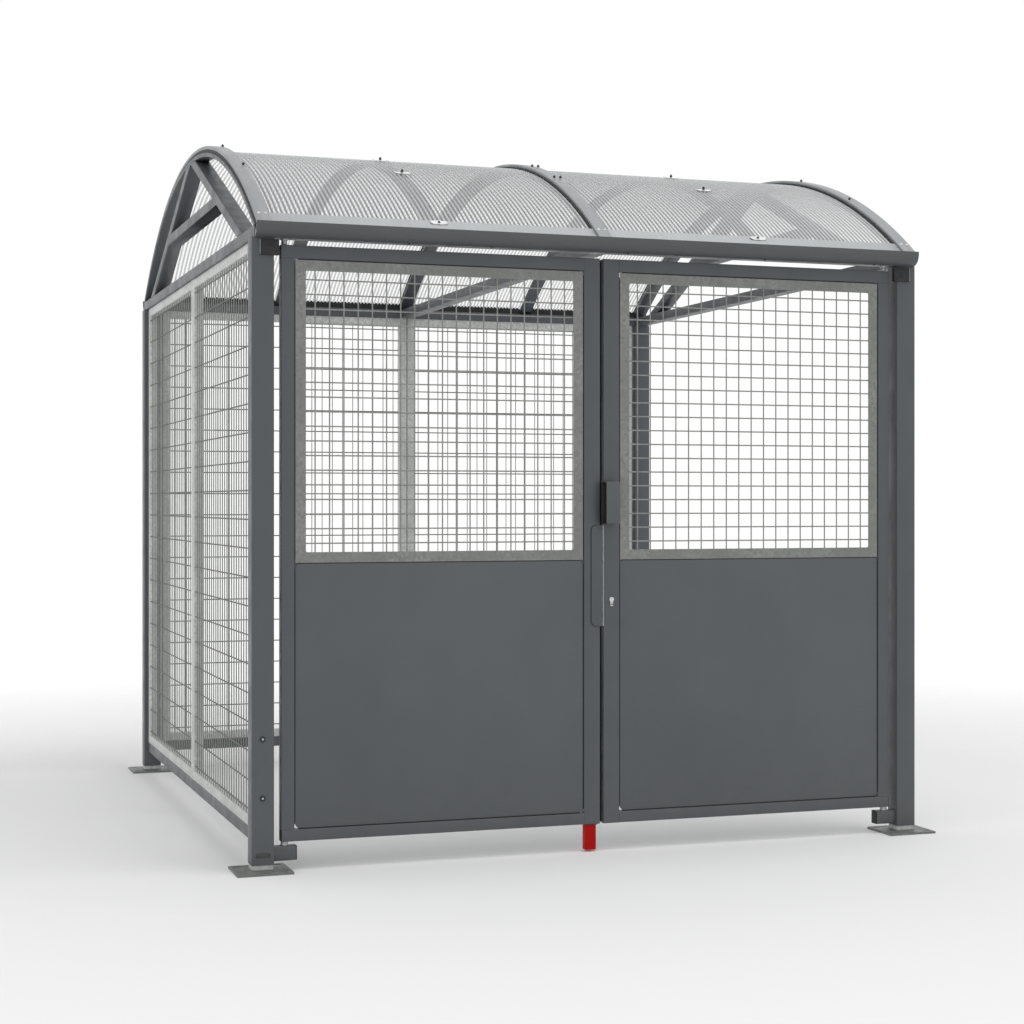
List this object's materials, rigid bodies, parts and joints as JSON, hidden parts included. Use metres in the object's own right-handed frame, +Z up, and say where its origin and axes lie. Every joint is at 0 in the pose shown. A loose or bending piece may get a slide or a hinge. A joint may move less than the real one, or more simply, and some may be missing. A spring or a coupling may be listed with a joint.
{
  "type": "bike shelter",
  "caption": "Lockable bike shelter: arched clear roof on a painted steel frame, mesh walls on two sides, one side open, double front gates with mesh over solid panels.",
  "frame": {"origin": "centre of the bounding box on the floor, under the middle of the shelter", "axes": "+X to the right along the front, +Y from the front gates to the rear wall, +Z up"},
  "size_m": [2.634, 2.964, 2.654],
  "materials": {
    "dark_paint": "satin dark grey powder coat",
    "galvanised_steel": "dull galvanised steel",
    "clear_sheet": "clear fluted twin-wall sheet",
    "silver_trim": "mill finish, slightly weathered",
    "black_rubber": "matt black",
    "red_paint": "satin red"
  },
  "bodies": {
    "frame": {"front_left_post": "dark_paint", "front_right_post": "dark_paint", "rear_left_post": "dark_paint", "rear_right_post": "dark_paint", "left_tie_beam": "dark_paint", "middle_tie_beam": "dark_paint", "right_tie_beam": "dark_paint", "front_eave_beam": "dark_paint", "rear_eave_beam": "dark_paint", "left_arch": "dark_paint", "left_quarter_arch": "dark_paint", "middle_arch": "dark_paint", "right_quarter_arch": "dark_paint", "right_arch": "dark_paint", "left_gable_brace": "dark_paint", "right_gable_brace": "dark_paint", "left_lower_rail": "dark_paint", "rear_lower_rail": "dark_paint", "front_gutter": "dark_paint", "rear_gutter": "dark_paint", "feet": "galvanised_steel", "left_front_wall_mesh": "galvanised_steel", "left_rear_wall_mesh": "galvanised_steel", "rear_left_wall_mesh": "galvanised_steel", "rear_right_wall_mesh": "galvanised_steel", "top_pivots": "galvanised_steel", "bottom_pivots": "galvanised_steel", "left_roof_sheet": "clear_sheet", "right_roof_sheet": "clear_sheet", "roof_covers": "silver_trim", "front_eave_trim": "silver_trim", "rear_eave_trim": "silver_trim", "blank_plate": "silver_trim", "hinge_blocks": "black_rubber", "eave_seals": "black_rubber"},
    "left_leaf": {"left_door_frame": "dark_paint", "left_door_mesh": "galvanised_steel", "left_door_panel": "dark_paint", "lock_cover_plate": "dark_paint"},
    "right_leaf": {"right_door_frame": "dark_paint", "right_door_mesh": "galvanised_steel", "right_door_panel": "dark_paint", "door_handle": "dark_paint", "lock_cylinder": "galvanised_steel"},
    "drop_bolt": {"drop_bolt": "red_paint"}
  },
  "joints": [
    {"name": "left_gate_hinge", "type": "hinge", "parent": "frame", "child": "left_leaf", "pos_m": [-1.143, -1.39, 0], "axis": [0, 0, -1], "range_deg": [0, 90]},
    {"name": "right_gate_hinge", "type": "hinge", "parent": "frame", "child": "right_leaf", "pos_m": [1.143, -1.39, 0], "axis": [0, 0, 1], "range_deg": [0, 90]},
    {"name": "drop_bolt_slide", "type": "slide", "parent": "left_leaf", "child": "drop_bolt", "axis": [0, 0, 1], "range_m": [0, 0.08]}
  ]
}
